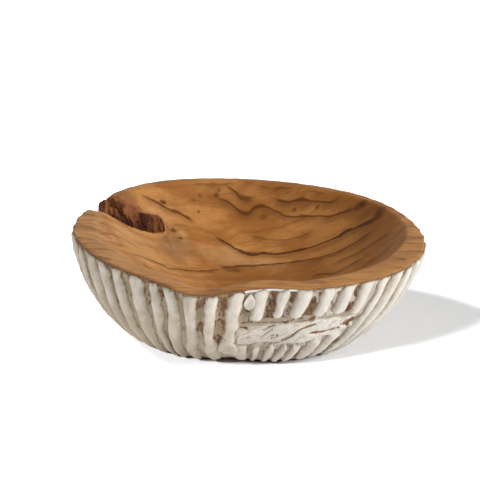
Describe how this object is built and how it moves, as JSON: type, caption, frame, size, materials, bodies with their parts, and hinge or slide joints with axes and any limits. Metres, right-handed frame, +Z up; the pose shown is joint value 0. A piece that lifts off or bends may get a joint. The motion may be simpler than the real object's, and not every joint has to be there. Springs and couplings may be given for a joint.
{
  "type": "carved wooden bowl",
  "caption": "Round hand-carved root-wood bowl with a wide flat rim, white-coated ribs outside, a bare hollow and a natural split at the rim.",
  "frame": {"origin": "centre of the flat face that the bowl rests on", "axes": "+Z up towards the rim, +X to the right and +Y to the back of the side with the carved scar, which faces -Y"},
  "size_m": [0.3496, 0.3412, 0.098],
  "materials": {
    "teak": "smooth, sanded and unlacquered",
    "bark": "rough natural bark",
    "white_coat": "matt chalky coat, brushed on thick"
  },
  "bodies": {
    "root": {"teak_body": "teak", "bark_inclusion": "bark", "scar_coat": "white_coat", "rib_coat_01": "white_coat", "rib_coat_02": "white_coat", "rib_coat_03": "white_coat", "rib_coat_04": "white_coat", "rib_coat_05": "white_coat", "rib_coat_06": "white_coat", "rib_coat_07": "white_coat", "rib_coat_08": "white_coat", "rib_coat_09": "white_coat", "rib_coat_10": "white_coat", "rib_coat_11": "white_coat", "rib_coat_12": "white_coat", "rib_coat_13": "white_coat", "rib_coat_14": "white_coat", "rib_coat_15": "white_coat", "rib_coat_16": "white_coat", "rib_coat_17": "white_coat", "rib_coat_18": "white_coat", "rib_coat_19": "white_coat", "rib_coat_20": "white_coat", "rib_coat_21": "white_coat", "rib_coat_22": "white_coat", "rib_coat_23": "white_coat", "rib_coat_24": "white_coat", "rib_coat_25": "white_coat", "rib_coat_26": "white_coat", "rib_coat_27": "white_coat", "rib_coat_28": "white_coat", "rib_coat_29": "white_coat", "rib_coat_30": "white_coat", "rib_coat_31": "white_coat", "rib_coat_32": "white_coat", "rib_coat_33": "white_coat", "rib_coat_34": "white_coat", "rib_coat_35": "white_coat", "rib_coat_36": "white_coat", "rib_coat_37": "white_coat", "rib_coat_38": "white_coat", "rib_coat_39": "white_coat", "rib_coat_40": "white_coat", "rib_coat_41": "white_coat", "rib_coat_42": "white_coat", "rib_coat_43": "white_coat", "rib_coat_44": "white_coat", "rib_coat_45": "white_coat", "rib_coat_46": "white_coat", "rib_coat_47": "white_coat", "rib_coat_48": "white_coat", "rib_coat_49": "white_coat", "rib_coat_50": "white_coat"}
  },
  "joints": []
}
